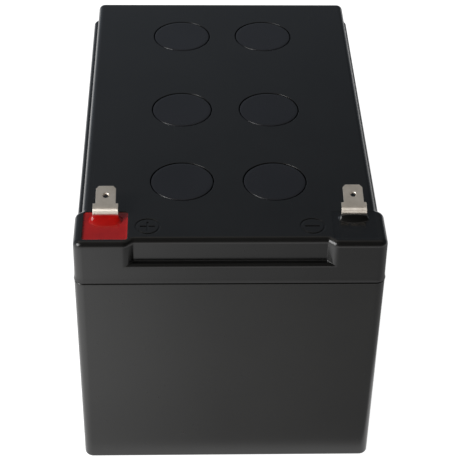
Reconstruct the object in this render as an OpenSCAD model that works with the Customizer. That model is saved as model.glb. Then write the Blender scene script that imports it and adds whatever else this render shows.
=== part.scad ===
// Sealed lead acid battery, 12 V, six cells, two blade terminals.
// Millimetres. Origin at the middle of the underside, +Z up.
// The terminals stand at the front, which faces -Y. Positive is at -X.

/* [Case] */
// Width of the container at its top edge
case_w = 98.4; // [97.6:0.2:99.2]
// Length of the container at its top edge
case_l = 151.4; // [150.6:0.2:152.2]
// Height of the lid's top face
lid_top = 94.4; // [93.8:0.1:95]
// Height of the container's shoulder, where the seam is
seam_z = 78.5; // [77.5:0.1:79.5]
// Gap of the seam seen from outside
seam_gap = 0.4; // [0.2:0.1:0.6]
// Radius of the upright corners of the container
corner_r = 3.2; // [2.6:0.1:3.6]
// How much narrower each side of the container is at its foot
draft = 0.2; // [0.1:0.05:0.4]
// Radius of the container's bottom edge
foot_r = 1.0; // [0.6:0.1:1.4]
// Thickness of the container's outer walls
wall = 2.3; // [2.1:0.1:2.5]
// Thickness of the container's floor
floor_t = 2.5; // [2:0.1:3]
// Thickness of the partitions between the cells
partition_t = 1.4; // [1.2:0.1:1.6]

/* [Lid] */
// Height of the side ledges of the lid
ledge_z = 86.1; // [85.6:0.1:86.6]
// How far the raised middle stands back from the sides, back and front
plate_inset = 2.15; // [2:0.05:2.3]
// Rounding of the raised edges of the lid
top_edge_r = 1.9; // [1.4:0.1:2]
// Rounding of the ledge's outer edge
ledge_edge_r = 1.2; // [0.8:0.1:1.4]
// Plan radius of the terminal blocks' inner and rear corners
block_r = 3.0; // [2.8:0.1:3.2]
// Distance from the middle to where a terminal block's front face begins
block_x = 33.8; // [33.6:0.1:34]
// Where the rear corner of each terminal block begins
block_y = -60.6; // [-61:0.1:-60]
// How far the lid's lower edge flares out above the seam
bead = 0.25; // [0.2:0.05:0.3]
// Thickness of the lid's top
lid_t = 2.2; // [2:0.1:2.4]
// Distance of the polarity signs from the middle
sign_x = 25.9; // [25.5:0.1:26.2]
// Middle of the polarity signs, front to back
sign_y = -66.4; // [-67:0.1:-66]
// Outside radius of the ring of a polarity sign
sign_r = 4.0; // [3.8:0.05:4.1]
// Depth of the polarity signs
sign_d = 0.35; // [0.2:0.05:0.5]

/* [Vents] */
// Distance of each row of vents from the middle
vent_x = 15.1; // [14.6:0.1:15.6]
// Places of the three vents of a row, front to back
vent_y = [-42.7, -0.6, 48.6];
// Radius of a vent cover
cover_r = 10.1; // [9.8:0.1:10.2]
// Ring gap around a vent cover
cover_gap = 0.35; // [0.25:0.05:0.4]
// Thickness of a vent cover
cover_t = 1.6; // [1.4:0.1:1.8]
// Radius of the vent well under the cover
well_r = 8.5; // [8.3:0.1:8.7]
// Outside radius of the vent neck
neck_r = 3.0; // [2.8:0.1:3.2]
// Bore radius of the vent neck
neck_bore_r = 1.6; // [1.4:0.1:1.8]
// Outside radius of the rubber cap
cap_r = 4.6; // [4.4:0.1:5]

/* [Terminals] */
// Distance of each terminal from the middle
term_x = 39.2; // [39:0.1:39.4]
// Middle of the terminal pockets, front to back
pocket_y = -65.85; // [-66:0.05:-65.7]
// Side of the square terminal pockets
pocket_s = 14.0; // [13.6:0.1:14]
// Corner radius of the terminal pockets
pocket_r = 0.8; // [0.8:0.1:1.2]
// Depth of the epoxy's face below the lid's top
seal_drop = 0.45; // [0.3:0.05:0.6]
// Thickness of the blade
blade_t = 0.8; // [0.8:0.01:0.81]
// Width of the blade
blade_w = 6.35; // [6.3:0.01:6.4]
// Length of the blade from its shoulders
blade_l = 7.6; // [7.5:0.05:8]
// Width of the terminal strip below the shoulders
strip_w = 8.0; // [7.8:0.1:8.2]
// Length of the wide part between the bend and the shoulders
shoulder_l = 1.45; // [1.15:0.05:1.6]
// Outside radius of the upper bend
bend_r = 2.1; // [1.8:0.1:2.2]
// Outside radius of the lower bend, inside the epoxy
foot_bend_r = 1.5; // [1.4:0.1:1.7]
// Height at which the bend begins, positive and negative terminal
bend_z = [95.9, 96.15];
// Rise of the blade from level in degrees, positive and negative terminal
blade_rise = [10, 11];
// Front face of the upright strip
strip_y = -62.6; // [-62.8:0.1:-62.4]
// Radius of the hole in the blade
hole_r = 0.85; // [0.8:0.05:0.9]
// Distance of the hole from the blade's tip
hole_u = 4.2; // [4:0.1:4.4]

/* [Plates] */
// Thickness of a positive plate
pos_t = 3.3; // [3.2:0.1:3.4]
// Thickness of a negative plate
neg_t = 2.2; // [2:0.1:2.2]
// Thickness of one layer of glass mat
mat_t = 1.8; // [1.6:0.1:1.8]
// Positive plates in a cell
n_pos = 5; // [3:1:5]
// Width of a plate
plate_w = 43.5; // [42:0.5:44]
// Height of the plates' top edge
plate_top = 66; // [64:0.5:67]
// Width of a plate's lug, and of the lead strap
lug_w = 8.0; // [7:0.5:8]
// Underside of the lead straps
strap_z = 72.5; // [71.5:0.5:72.5]
// Thickness of the lead straps
strap_t = 4.0; // [3.5:0.1:4]
// Radius of the lead joint through a partition
weld_r = 3.0; // [2.6:0.1:3]
// Radius of the terminal posts
post_r = 3.5; // [3:0.1:3.6]

/* [Hidden] */

$fn = 64;
e = 0.01;                       // overshoot of a cutter past a face

hw = case_w / 2;                // half width of the container at the seam
hl = case_l / 2;                // half length of the container at the seam
lw = hw - 0.1;                  // half width of the lid above its flare
ll = hl - 0.1;                  // half length of the lid above its flare
lid_z = seam_z + seam_gap;      // the lid's lower edge
lid_draft = 0.1;                // the lid narrows by this on each side
in_w = hw - wall;               // half width inside the container
in_l = hl - wall;               // half length inside the container
tongue = 2.0;                   // height of the rim that stands into the lid
joint_z = seam_z + tongue;      // where that rim meets the lid
rib_t = 3.0;                    // thickness of the lid's ribs over the partitions
cell_l = (2 * in_l - 2 * partition_t) / 3;
row_y = [-cell_l - partition_t, 0, cell_l + partition_t];   // middles of the rows
part_y = (cell_l + partition_t) / 2;                        // middle of a cross partition
col_x = partition_t / 2 + (in_w - partition_t / 2) / 2;     // middle of a column
cell_w = in_w - partition_t / 2;

well_floor = lid_top - 11.5;    // underside of a vent well's floor
neck_base = well_floor + 2;     // top of that floor
neck_top = lid_top - 4;         // rim of the neck, under the rubber cap
seat_z = lid_top - cover_t;     // seat of the vent cover
well_wall = 1.8;
cap_top_t = 1.5;
pocket_z = lid_top - 8;         // floor of a terminal pocket
seal_z = lid_top - seal_drop;   // face of the epoxy

// column (-1 or 1), row (0 front to 2 back) of the cells in the order of the current
CELLS = [[-1, 0], [-1, 1], [-1, 2], [1, 2], [1, 1], [1, 0]];
// 1 where the positive lugs stand at the outer side of the cell
OUTER = [1, 0, 1, 0, 1, 0];
out_x = term_x;                 // strap at a cell's outer side
inn_x = 2 * col_x - term_x;     // strap at a cell's inner side
weld_z = strap_z + 3.1;           // middle of a joint through a partition
riser_h = 6.3;                  // height of the lead against a partition

seg = 6;                        // steps of an arc in a lofted outline

// ---- outlines -------------------------------------------------------------
// An outline is a list of arcs [x, y, radius, start angle, end angle], with a
// negative radius where the arc is hollow. ring() gives its points, moved
// inwards by d.
function ring(A, d) = [for (a = A) for (i = [0 : seg])
    let (t = a[3] + (a[4] - a[3]) * i / seg)
    [a[0] + (a[2] - d) * cos(t), a[1] + (a[2] - d) * sin(t)]];

function mirrored(A) = [for (i = [len(A) - 1 : -1 : 0])
    [-A[i][0], A[i][1], A[i][2], 180 - A[i][4], 180 - A[i][3]]];

function oblong(w, l, r) = [
    [w - r, -l + r, r, -90, 0], [w - r, l - r, r, 0, 90],
    [-w + r, l - r, r, 90, 180], [-w + r, -l + r, r, 180, 270]];

// Levels [z, inset] of a rounded outer edge that starts d0 in from the outline
function round_up(z, r, d0) = [for (i = [0 : 6])
    [z - r + r * sin(i * 15), d0 + r * (1 - cos(i * 15))]];
function round_foot(r, d0) = [for (i = [0 : 6])
    [r - r * cos(i * 15), d0 + r * (1 - sin(i * 15))]];

// Solid through an outline at each level, bottom to top
module loft(A, L) {
    R = [for (l = L) ring(A, l[1])];
    n = len(R[0]);
    m = len(L);
    polyhedron(
        points = [for (k = [0 : m - 1]) for (p = R[k]) [p[0], p[1], L[k][0]]],
        faces = concat(
            [[for (i = [0 : n - 1]) i]],
            [[for (i = [n - 1 : -1 : 0]) (m - 1) * n + i]],
            [for (k = [0 : m - 2]) for (i = [0 : n - 1]) let (j = (i + 1) % n)
                [k * n + i, (k + 1) * n + i, (k + 1) * n + j, k * n + j]]),
        convexity = 6);
}

module rrect(w, l, r) {
    square([w, l - 2 * r], center = true);
    square([w - 2 * r, l], center = true);
    for (x = [-1, 1], y = [-1, 1]) translate([x * (w / 2 - r), y * (l / 2 - r)]) circle(r = r);
}

module block(x0, x1, y0, y1, z0, z1) {
    translate([min(x0, x1), min(y0, y1), z0])
        cube([abs(x1 - x0), abs(y1 - y0), z1 - z0]);
}

// ---- container ------------------------------------------------------------
module container() {
    color([0.075, 0.075, 0.08])
    difference() {
        union() {
            loft(oblong(hw, hl, corner_r), concat(
                round_foot(foot_r, draft),
                [[seam_z - 0.3, 0], [seam_z - 0.1, 0.06], [seam_z, 0.25]]));
            // rim that stands into the lid
            translate([0, 0, seam_z - 1])
                linear_extrude(tongue + 1)
                    rrect(2 * (hw - 0.8), 2 * (hl - 0.8), corner_r - 0.8);
        }
        // six cells
        for (x = [-1, 1], y = row_y)
            translate([x * col_x, y, floor_t + 50])
                cube([cell_w, cell_l, 100], center = true);
        // step inside the rim
        difference() {
            translate([0, 0, seam_z]) linear_extrude(tongue + 1)
                rrect(2 * (hw - 1.8), 2 * (hl - 1.8), corner_r - 1.8);
            translate([0, 0, seam_z + 1]) cube([partition_t, case_l, tongue * 3], center = true);
            for (s = [-1, 1]) translate([0, s * part_y, seam_z + 1])
                cube([case_w, partition_t, tongue * 3], center = true);
        }
        // holes in the partitions where the lead straps are joined
        for (s = [[-inn_x, -1], [-out_x, 1], [out_x, 1], [inn_x, -1]])
            translate([s[0], s[1] * part_y, weld_z]) rotate([90, 0, 0])
                cylinder(r = weld_r, h = partition_t + 1, center = true);
        translate([0, row_y[2], weld_z]) rotate([0, 90, 0])
            cylinder(r = weld_r, h = partition_t + 1, center = true);
    }
}

// ---- lid ------------------------------------------------------------------
// The step between two faces is an arc out and a small hollow arc back
step_r2 = 0.4;
step_r = block_r + step_r2;
step_a = acos(1 - plate_inset / step_r);    // at the sides
// At the front the step is shallower, with a flat between the two arcs
slope_a = 42;
slope_l = (plate_inset - step_r * (1 - cos(slope_a))) / sin(slope_a);
pw = lw - plate_inset;
pl = ll - plate_inset;
raised_half = [
    [block_x - step_r * sin(slope_a) - slope_l * cos(slope_a),
     -ll + block_r - step_r * cos(slope_a) + slope_l * sin(slope_a),
     -step_r2, 270, 270 - slope_a],
    [block_x, -ll + block_r, block_r, 270 - slope_a, 270],
    [lw - block_r, -ll + block_r, block_r, 270, 360],
    [lw - block_r, block_y, block_r, 0, step_a],
    [lw - block_r + step_r * cos(step_a), block_y + step_r * sin(step_a), -step_r2, step_a, 0],
    [pw - 2.4, pl - 2.4, 2.4, 0, 90]];
raised = concat(raised_half, mirrored(raised_half));

module sign(plus) {
    difference() {
        cylinder(r = sign_r, h = 1);
        translate([0, 0, -1]) cylinder(r = sign_r - 0.55, h = 3);
    }
    translate([-2.3, -0.3, 0]) cube([4.6, 0.6, 1]);
    if (plus) translate([-0.3, -2.3, 0]) cube([0.6, 4.6, 1]);
}

module lid() {
    color([0.085, 0.085, 0.09])
    difference() {
        union() {
            // rim, which flares out to its lower edge, up to the ledges
            loft(oblong(lw, ll, block_r), concat(
                [[lid_z, 0.15 - bead], [lid_z + 0.15, -bead], [lid_z + 0.6, -bead * 0.61],
                 [lid_z + 1.1, -bead * 0.29], [lid_z + 1.6, -bead * 0.09], [lid_z + 2.2, 0]],
                round_up(ledge_z, ledge_edge_r, 0.06)));
            // raised middle and terminal blocks, with the two pockets
            difference() {
                loft(raised, concat([[lid_z + 3, lid_draft]], round_up(lid_top, top_edge_r, lid_draft)));
                for (x = [-1, 1]) translate([x * term_x, pocket_y, pocket_z])
                    linear_extrude(20) rrect(pocket_s, pocket_s, pocket_r);
                // sunk polarity signs
                translate([-sign_x, sign_y, lid_top - sign_d]) sign(true);
                translate([sign_x, sign_y, lid_top - sign_d]) sign(false);
            }
        }
        // groove for the container's rim
        difference() {
            translate([0, 0, lid_z - 1]) linear_extrude(joint_z - lid_z + 1)
                rrect(2 * (hw - 0.75), 2 * (hl - 0.75), corner_r - 0.75);
            translate([0, 0, lid_z - 2]) linear_extrude(10)
                rrect(2 * (hw - 1.85), 2 * (hl - 1.85), corner_r - 1.85);
        }
        // grooves for the partitions
        translate([0, 0, joint_z - 5]) cube([partition_t + 0.1, case_l - 2, 10], center = true);
        for (s = [-1, 1]) translate([0, s * part_y, joint_z - 5])
            cube([case_w - 2, partition_t + 0.1, 10], center = true);
        // head space of each cell
        for (x = [-1, 1], r = [0 : 2]) difference() {
            head_space(x, r);
            if (r == 0) block(x * (term_x - pocket_s / 2 - 1.6), x * 60,
                -90, pocket_y + pocket_s / 2 + 1.6, ledge_z - lid_t, lid_top);
            translate([x * vent_x, vent_y[r], well_floor])
                cylinder(r = well_r + well_wall, h = 20);
        }
        // vent wells, seats and necks
        for (x = [-1, 1], y = vent_y) translate([x * vent_x, y, 0]) {
            translate([0, 0, seat_z]) cylinder(r = cover_r + cover_gap, h = 5);
            difference() {
                translate([0, 0, neck_base]) cylinder(r = well_r, h = 20);
                translate([0, 0, neck_base - 1]) cylinder(r = neck_r, h = neck_top - neck_base + 1);
            }
            translate([0, 0, well_floor - 1]) cylinder(r = neck_bore_r, h = 20);
        }
        // holes for the posts
        for (x = [-1, 1]) translate([x * term_x, pocket_y, pocket_z - 10])
            cylinder(r = post_r + 0.1, h = 10.5);
    }
}

module head_space(x, r) {
    y0 = r == 0 ? -in_l + 0.3 : row_y[r] - (cell_l + partition_t) / 2 + rib_t / 2;
    y1 = r == 2 ? in_l - 0.3 : row_y[r] + (cell_l + partition_t) / 2 - rib_t / 2;
    z0 = lid_z - 1;
    block(x * rib_t / 2, x * (in_w - 0.3), y0, y1, z0, ledge_z - lid_t);
    block(x * rib_t / 2, x * (pw - lid_t), max(y0, -pl + lid_t), min(y1, pl - lid_t),
        z0, lid_top - lid_t);
}

// ---- vents ----------------------------------------------------------------
// Vents are numbered like the cells, from the positive end of the battery
function vent_at(n) = [CELLS[n - 1][0] * vent_x, vent_y[CELLS[n - 1][1]], 0];

module vent_cover(n) {
    c = 0.3;
    color([0.09, 0.095, 0.105]) translate(vent_at(n))
    rotate_extrude() polygon(concat(
        [[0, neck_top + cap_top_t], [2, neck_top + cap_top_t], [2, seat_z],
         [7, seat_z], [7, seat_z - 1.2], [well_r - 0.3, seat_z - 1.2], [well_r - 0.3, seat_z],
         [cover_r - 0.1, seat_z], [cover_r, seat_z + 0.1]],
        [for (a = [0 : 15 : 90]) [cover_r - c + c * cos(a), lid_top - c + c * sin(a)]],
        [[0, lid_top]]));
}

module valve_cap(n) {
    color([0.12, 0.12, 0.12]) translate(vent_at(n))
    rotate_extrude() polygon([
        [0, neck_top], [neck_r, neck_top], [neck_r, neck_base + 0.7], [cap_r, neck_base + 0.7],
        [cap_r, neck_top + cap_top_t - 0.5], [cap_r - 0.5, neck_top + cap_top_t],
        [0, neck_top + cap_top_t]]);
}

// ---- terminals ------------------------------------------------------------
foot_z = pocket_z + 2;          // shoulder of the post, on which the strip's foot sits
foot_y = pocket_y - 3.4;        // free end of the foot

// Points of an arc of radius r about (y, z)
function arc(y, z, r, a0, a1) = [for (i = [0 : 12])
    let (t = a0 + (a1 - a0) * i / 12) [y + r * cos(t), z + r * sin(t)]];

// Side view of the strip: the first number is the object's Y, the second its Z.
// The foot lies level on the post, the strip stands up, bends back and ends in
// the blade.
module strip2d(k) {
    bz = bend_z[k];
    a = blade_rise[k];
    y1 = strip_y - foot_bend_r + blade_t; // middle of the lower bend
    z1 = foot_z + foot_bend_r;
    y2 = strip_y + bend_r;                // middle of the upper bend
    l = shoulder_l + blade_l;
    bi = bend_r - blade_t;
    polygon(concat(
        [[foot_y, foot_z]],
        arc(y1, z1, foot_bend_r, -90, 0),
        arc(y2, bz, bi, 180, 90 + a),
        [[y2 + l * cos(a) - bi * sin(a), bz + l * sin(a) + bi * cos(a)],
         [y2 + l * cos(a) - bend_r * sin(a), bz + l * sin(a) + bend_r * cos(a)]],
        arc(y2, bz, bend_r, 90 + a, 180),
        arc(y1, z1, foot_bend_r - blade_t, 0, -90),
        [[foot_y, foot_z + blade_t]]));
}

module terminal(k) {
    x = k == 0 ? -term_x : term_x;
    color([0.78, 0.76, 0.72]) translate([x, 0, 0])
    difference() {
        translate([-strip_w / 2, 0, 0]) rotate([90, 0, 90]) linear_extrude(strip_w) strip2d(k);
        // shoulders, tip corners and hole, cut square to the blade
        translate([0, strip_y + bend_r, bend_z[k]]) rotate([blade_rise[k], 0, 0]) {
            for (s = [-1, 1]) {
                translate([s * (blade_w / 2 + 5), shoulder_l + 10, bend_r])
                    cube([10, 20, 6], center = true);
                translate([0, shoulder_l + blade_l, 0])
                    linear_extrude(6, center = true)
                        polygon([[s * (blade_w / 2 - 0.9), e], [s * (blade_w / 2 + 1), e],
                            [s * (blade_w / 2 + 1), -1.2], [s * blade_w / 2, -1.2]]);
            }
            translate([0, shoulder_l + blade_l - hole_u, 0])
                cylinder(r = hole_r, h = 6, center = true);
        }
        // hole in the foot for the post's spigot
        translate([0, pocket_y, foot_z - 1]) cylinder(r = 2.0, h = 4);
    }
}

module seal(k) {
    x = k == 0 ? -term_x : term_x;
    color(k == 0 ? [0.62, 0.05, 0.04] : [0.05, 0.05, 0.05])
    difference() {
        translate([x, pocket_y, pocket_z]) linear_extrude(seal_z - pocket_z)
            rrect(pocket_s, pocket_s, pocket_r);
        translate([x, pocket_y, pocket_z - 1]) cylinder(r = post_r, h = foot_z - pocket_z + 1);
        translate([x, pocket_y, foot_z - 0.5]) cylinder(r = 2.0, h = blade_t + 0.9);
        translate([x - strip_w / 2, 0, 0]) rotate([90, 0, 90]) linear_extrude(strip_w) strip2d(k);
    }
}

// ---- lead straps ----------------------------------------------------------
strap_y0 = row_y[0] - 22;       // ends of a strap within its row
module strap(x, r, to_y) {
    y0 = row_y[r] - 22;
    y1 = row_y[r] + 22;
    block(x - lug_w / 2, x + lug_w / 2, min(y0, to_y), max(y1, to_y), strap_z, strap_z + strap_t);
}

module riser_y(x, s, side) {
    y = s * part_y + side * partition_t / 2;
    block(x - 4.2, x + 4.2, y, y + side * 2.2, strap_z, strap_z + riser_h);
}

module post(k) {
    x = k == 0 ? -term_x : term_x;
    color([0.42, 0.43, 0.45]) {
        strap(x, 0, 0 - cell_l);
        translate([x, pocket_y, strap_z + 1]) cylinder(r = post_r, h = foot_z - strap_z - 1);
        translate([x, pocket_y, foot_z - 1]) cylinder(r = 2.0, h = blade_t + 1.4);
    }
}

module link(n) {
    a = CELLS[n - 1];
    b = CELLS[n];
    // the negative side of cell n faces the positive side of the next cell
    color([0.42, 0.43, 0.45])
    if (n == 3) {
        for (s = [-1, 1]) {
            strap(s * inn_x, 2, row_y[2]);
            block(s * partition_t / 2, s * (partition_t / 2 + 2.2), row_y[2] - 4.2, row_y[2] + 4.2,
                strap_z, strap_z + riser_h);
            block(s * (partition_t / 2 + 2), s * (inn_x - lug_w / 2 + 1), row_y[2] - 4.2, row_y[2] + 4.2,
                strap_z, strap_z + strap_t);
        }
        translate([0, row_y[2], weld_z]) rotate([0, 90, 0])
            cylinder(r = weld_r, h = partition_t + 1, center = true);
    } else {
        x = a[0] * (OUTER[n - 1] == 1 ? inn_x : out_x);
        s = (a[1] + b[1]) == 1 ? -1 : 1;
        lo = min(a[1], b[1]);
        strap(x, lo, s * part_y - partition_t / 2 - 1);
        strap(x, lo + 1, s * part_y + partition_t / 2 + 1);
        riser_y(x, s, -1);
        riser_y(x, s, 1);
        translate([x, s * part_y, weld_z]) rotate([90, 0, 0])
            cylinder(r = weld_r, h = partition_t + 1, center = true);
    }
}

// ---- plates and glass mats ------------------------------------------------
pitch = pos_t + neg_t + 2 * mat_t;
stack_y0 = -(n_pos * pitch + neg_t) / 2;

module plate(x, y, t, z0, lug_x) {
    block(x - plate_w / 2, x + plate_w / 2, y, y + t, z0, plate_top);
    block(lug_x - lug_w / 2, lug_x + lug_w / 2, y, y + t, plate_top - 1, strap_z);
}

module positive_plates(n) {
    c = CELLS[n - 1];
    color([0.30, 0.22, 0.17])
    for (i = [0 : n_pos - 1])
        plate(c[0] * col_x, row_y[c[1]] + stack_y0 + neg_t + mat_t + i * pitch, pos_t,
            floor_t + mat_t, c[0] * (OUTER[n - 1] == 1 ? out_x : inn_x));
}

module negative_plates(n) {
    c = CELLS[n - 1];
    color([0.40, 0.41, 0.43])
    for (i = [0 : n_pos])
        plate(c[0] * col_x, row_y[c[1]] + stack_y0 + i * pitch, neg_t,
            floor_t, c[0] * (OUTER[n - 1] == 1 ? inn_x : out_x));
}

// Each mat is one sheet folded under a positive plate
module separators(n) {
    c = CELLS[n - 1];
    h = plate_top + 2 - floor_t;
    color([0.88, 0.88, 0.86])
    for (i = [0 : n_pos - 1])
        translate([c[0] * col_x - plate_w / 2 - 1, row_y[c[1]] + stack_y0 + neg_t + i * pitch, floor_t])
            rotate([90, 0, 90]) linear_extrude(plate_w + 2) difference() {
                square([pos_t + 2 * mat_t, h]);
                translate([mat_t, mat_t]) square([pos_t, h]);
            }
}

container();
lid();
vent_cover(1);  // vent_cover_1
vent_cover(2);  // vent_cover_2
vent_cover(3);  // vent_cover_3
vent_cover(4);  // vent_cover_4
vent_cover(5);  // vent_cover_5
vent_cover(6);  // vent_cover_6
valve_cap(1);  // valve_cap_1
valve_cap(2);  // valve_cap_2
valve_cap(3);  // valve_cap_3
valve_cap(4);  // valve_cap_4
valve_cap(5);  // valve_cap_5
valve_cap(6);  // valve_cap_6
terminal(0);  // terminal_positive
terminal(1);  // terminal_negative
seal(0);  // seal_positive
seal(1);  // seal_negative
post(0);  // post_positive
post(1);  // post_negative
link(1);  // intercell_link_1
link(2);  // intercell_link_2
link(3);  // intercell_link_3
link(4);  // intercell_link_4
link(5);  // intercell_link_5
positive_plates(1);  // positive_plates_1
positive_plates(2);  // positive_plates_2
positive_plates(3);  // positive_plates_3
positive_plates(4);  // positive_plates_4
positive_plates(5);  // positive_plates_5
positive_plates(6);  // positive_plates_6
negative_plates(1);  // negative_plates_1
negative_plates(2);  // negative_plates_2
negative_plates(3);  // negative_plates_3
negative_plates(4);  // negative_plates_4
negative_plates(5);  // negative_plates_5
negative_plates(6);  // negative_plates_6
separators(1);  // separators_1
separators(2);  // separators_2
separators(3);  // separators_3
separators(4);  // separators_4
separators(5);  // separators_5
separators(6);  // separators_6
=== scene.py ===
import math

import bmesh
import bpy
from mathutils import Matrix, Vector


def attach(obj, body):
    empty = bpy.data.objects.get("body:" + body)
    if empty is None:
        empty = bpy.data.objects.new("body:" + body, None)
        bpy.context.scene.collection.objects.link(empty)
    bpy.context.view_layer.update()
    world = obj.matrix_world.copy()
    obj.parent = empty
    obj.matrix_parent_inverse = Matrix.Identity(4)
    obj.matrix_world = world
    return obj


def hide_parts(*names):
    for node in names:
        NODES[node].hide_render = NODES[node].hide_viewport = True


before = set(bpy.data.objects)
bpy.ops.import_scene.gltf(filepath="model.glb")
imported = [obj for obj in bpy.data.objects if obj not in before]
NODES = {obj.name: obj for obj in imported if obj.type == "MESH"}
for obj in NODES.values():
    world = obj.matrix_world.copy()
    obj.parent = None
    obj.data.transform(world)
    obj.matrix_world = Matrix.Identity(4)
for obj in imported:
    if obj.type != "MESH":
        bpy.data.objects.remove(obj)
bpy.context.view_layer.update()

MM = 0.001

# ---- measures, in millimetres, the same as in the construction ---------------
HW, HL = 49.2, 75.7            # container at its top edge, halves
LW, LL = 49.1, 75.6            # lid above its bead, halves
SEAM_Z, LID_Z = 78.5, 78.9
LEDGE_Z, LID_TOP = 86.1, 94.4
CORNER_R, DRAFT, FOOT_R = 3.2, 0.2, 1.0
WALL, FLOOR_T, PART_T = 2.3, 2.5, 1.4
INSET, TOP_R, LEDGE_R, FILLET_R = 2.15, 1.9, 1.2, 0.22
BLOCK_R, STEP_R2, BLOCK_X, BLOCK_Y, BACK_R = 3.0, 0.4, 33.8, -60.6, 2.4
LID_T = 2.2
VENT_X, VENT_Y = 15.1, [-42.7, -0.6, 48.6]
COVER_R, COVER_GAP, COVER_T, WELL_R = 10.1, 0.35, 1.6, 8.5
NECK_R, BORE_R = 3.0, 1.6
TERM_X, POCKET_Y, POCKET_S, POCKET_R = 39.2, -65.85, 14.0, 0.8
SEAL_Z, POCKET_Z = LID_TOP - 0.45, LID_TOP - 8
BLADE_T, BLADE_W, BLADE_L, STRIP_W, SHOULDER_L, BEND_R = 0.8, 6.35, 7.6, 8.0, 1.45, 2.1
BEND_Z, RISE, STRIP_Y, HOLE_R, HOLE_U = [95.9, 96.15], [10, 11], -62.6, 0.85, 4.2
IN_W, IN_L = HW - WALL, HL - WALL
CELL_L = (2 * IN_L - 2 * PART_T) / 3
ROW_Y = [-CELL_L - PART_T, 0, CELL_L + PART_T]
PART_Y = (CELL_L + PART_T) / 2
COL_X = PART_T / 2 + (IN_W - PART_T / 2) / 2
CELL_W = IN_W - PART_T / 2
WELL_FLOOR = LID_TOP - 11.5
NECK_BASE, NECK_TOP = WELL_FLOOR + 2, LID_TOP - 4
SEAT_Z = LID_TOP - COVER_T
JOINT_Z = SEAM_Z + 2
FOOT_Z = POCKET_Z + 2
CELLS = [(-1, 0), (-1, 1), (-1, 2), (1, 2), (1, 1), (1, 0)]
STEP_A = math.degrees(math.acos(1 - INSET / (BLOCK_R + STEP_R2)))
SLOPE_A = 42
SLOPE_L = (INSET - (BLOCK_R + STEP_R2) * (1 - math.cos(math.radians(SLOPE_A)))) / math.sin(math.radians(SLOPE_A))


def sind(a):
    return math.sin(math.radians(a))


def cosd(a):
    return math.cos(math.radians(a))


# ---- mesh helpers ------------------------------------------------------------
def mesh_object(name, points, faces):
    me = bpy.data.meshes.new(name)
    me.from_pydata([tuple(c * MM for c in p) for p in points], [], faces)
    bm = bmesh.new()
    bm.from_mesh(me)
    bmesh.ops.remove_doubles(bm, verts=bm.verts, dist=1e-8)
    bmesh.ops.recalc_face_normals(bm, faces=bm.faces)
    bm.to_mesh(me)
    bm.free()
    me.validate()
    o = bpy.data.objects.new(name, me)
    bpy.context.collection.objects.link(o)
    return o


def rings(name, levels):
    """Closed solid through rings with the same number of points, bottom to top."""
    n = len(levels[0])
    points = [p for level in levels for p in level]
    faces = [list(range(n))[::-1], [(len(levels) - 1) * n + i for i in range(n)]]
    for k in range(len(levels) - 1):
        for i in range(n):
            j = (i + 1) % n
            faces.append([k * n + i, k * n + j, (k + 1) * n + j, (k + 1) * n + i])
    return mesh_object(name, points, faces)


def lathe(name, profile, n=96, at=(0, 0)):
    """Solid of revolution. The profile runs round a closed outline in r and z."""
    points, index, faces = [], [], []
    for r, z in profile:
        if r < 1e-6:
            index.append([len(points)] * n)
            points.append((at[0], at[1], z))
        else:
            index.append([len(points) + i for i in range(n)])
            points += [(at[0] + r * cosd(360 * i / n), at[1] + r * sind(360 * i / n), z)
                       for i in range(n)]
    m = len(profile)
    for k in range(m):
        a, b = index[k], index[(k + 1) % m]
        if a[0] == a[1] and b[0] == b[1]:
            continue
        for i in range(n):
            j = (i + 1) % n
            f = []
            for v in (a[i], a[j], b[j], b[i]):
                if v not in f:
                    f.append(v)
            if len(f) > 2:
                faces.append(f)
    return mesh_object(name, points, faces)


def outline(w, l, r, d=0, n=12, cx=0, cy=0):
    """Points of a rounded rectangle with half sizes w and l, moved inwards by d."""
    out = []
    for x, y, a in ((w - r, -l + r, -90), (w - r, l - r, 0), (-w + r, l - r, 90), (-w + r, -l + r, 180)):
        for i in range(n + 1):
            t = a + 90 * i / n
            out.append((cx + x + (r - d) * cosd(t), cy + y + (r - d) * sind(t)))
    return out


def at_z(points, z):
    return [(x, y, z) for x, y in points]


def block(name, x0, x1, y0, y1, z0, z1, r=0.3):
    """Cutter with softened edges: a box whose upright edges and ends are rounded."""
    x0, x1 = min(x0, x1), max(x0, x1)
    w, l, cx, cy = (x1 - x0) / 2, (y1 - y0) / 2, (x0 + x1) / 2, (y0 + y1) / 2
    lv = []
    for k in range(4):
        a = 30 * k
        lv.append(at_z(outline(w, l, 1.5 * r, r * (1 - sind(a)), 4, cx, cy), z0 + r * (1 - cosd(a))))
    for k in range(3, -1, -1):
        a = 30 * k
        lv.append(at_z(outline(w, l, 1.5 * r, r * (1 - sind(a)), 4, cx, cy), z1 - r * (1 - cosd(a))))
    return rings(name, lv)


def join(name, objects):
    bm = bmesh.new()
    for o in objects:
        bm.from_mesh(o.data)
    me = bpy.data.meshes.new(name)
    bm.to_mesh(me)
    bm.free()
    out = bpy.data.objects.new(name, me)
    bpy.context.collection.objects.link(out)
    for o in objects:
        drop(o)
    return out


def drop(o):
    me = o.data
    bpy.data.objects.remove(o)
    if me.users == 0:
        bpy.data.meshes.remove(me)


def cut(o, *cutters, op="DIFFERENCE", keep=False):
    for c in cutters:
        m = o.modifiers.new("cut", "BOOLEAN")
        m.operation, m.object, m.solver = op, c, "EXACT"
        dg = bpy.context.evaluated_depsgraph_get()
        me = bpy.data.meshes.new_from_object(o.evaluated_get(dg))
        o.modifiers.clear()
        old = o.data
        o.data = me
        bpy.data.meshes.remove(old)
        if not keep:
            drop(c)
    return o


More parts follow.
